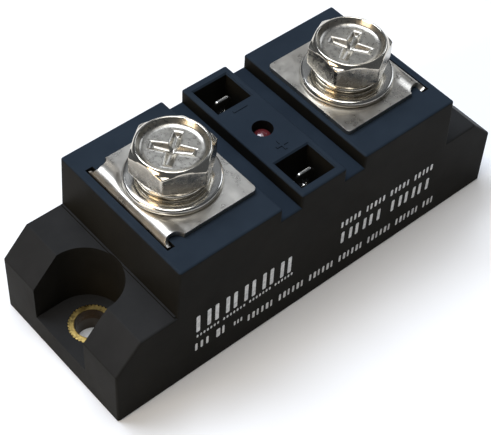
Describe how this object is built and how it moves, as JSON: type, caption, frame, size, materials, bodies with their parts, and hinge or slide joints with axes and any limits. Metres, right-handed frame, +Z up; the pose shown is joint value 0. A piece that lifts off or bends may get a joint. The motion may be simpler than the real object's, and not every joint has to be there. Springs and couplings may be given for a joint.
{
  "type": "solid state relay",
  "caption": "Long black power-module relay with a mounting ear at each end, two dished hex terminal bolts on nickel strips, and push-on control tabs beside a status lamp.",
  "frame": {"origin": "middle of the underside of the base plate, on the surface it is screwed to", "axes": "+X along the case from the left ear to the right ear, +Z up, -Y the front long side"},
  "size_m": [0.094, 0.034, 0.0413],
  "materials": {
    "case_plastic": "fine moulded grain, slight sheen",
    "base_metal": "milled flat, nickel-plated look",
    "brass": "knurled, dull",
    "terminal_nickel": "nickel plate, satin",
    "nut_steel": "zinc plate",
    "washer_steel": "bright nickel plate",
    "spring_steel": "bright nickel plate",
    "bolt_steel": "bright nickel plate",
    "silicon": "polished grey",
    "copper": "bare copper",
    "tab_tin": "tin plate",
    "lamp_lens": "clear red epoxy",
    "ceramic": "white alumina",
    "board": "green solder mask",
    "chip_plastic": "black moulded",
    "resistor_body": "black glazed",
    "capacitor_film": "yellow box",
    "varistor_coat": "blue epoxy"
  },
  "bodies": {
    "relay": {"case": "case_plastic", "base_plate": "base_metal", "left_bush": "brass", "right_bush": "brass", "left_terminal": "terminal_nickel", "right_terminal": "terminal_nickel", "left_nut": "nut_steel", "right_nut": "nut_steel", "left_thyristor": "silicon", "right_thyristor": "silicon", "left_cathode_strap": "copper", "right_cathode_strap": "copper", "front_input_tab": "tab_tin", "back_input_tab": "tab_tin", "status_lamp": "lamp_lens", "lamp_leads": "tab_tin", "ceramic_substrate": "ceramic", "copper_pads": "copper", "gate_pins": "tab_tin", "control_board": "board", "optocoupler": "chip_plastic", "resistors": "resistor_body", "snubber_capacitor": "capacitor_film", "varistor": "varistor_coat"},
    "left_washers": {"left_flat_washer": "washer_steel", "left_spring_washer": "spring_steel"},
    "left_terminal_bolt": {"left_bolt": "bolt_steel"},
    "right_washers": {"right_flat_washer": "washer_steel", "right_spring_washer": "spring_steel"},
    "right_terminal_bolt": {"right_bolt": "bolt_steel"}
  },
  "joints": [
    {"name": "left_washer_lift", "type": "slide", "parent": "relay", "child": "left_washers", "axis": [0, 0, 1], "range_m": [0, 0.01001]},
    {"name": "left_bolt_turn", "type": "hinge", "parent": "left_washers", "child": "left_terminal_bolt", "pos_m": [-0.021, 0, 0.0352], "axis": [0, 0, 1], "range_deg": [0, 2880]},
    {"name": "right_washer_lift", "type": "slide", "parent": "relay", "child": "right_washers", "axis": [0, 0, 1], "range_m": [0, 0.01001]},
    {"name": "right_bolt_turn", "type": "hinge", "parent": "right_washers", "child": "right_terminal_bolt", "pos_m": [0.021, 0, 0.0352], "axis": [0, 0, 1], "range_deg": [0, 2880]}
  ],
  "couplings": [
    {"joint": "left_washer_lift", "follows": "left_bolt_turn", "m_per_rad": 0.00019894},
    {"joint": "right_washer_lift", "follows": "right_bolt_turn", "m_per_rad": 0.00019894}
  ]
}
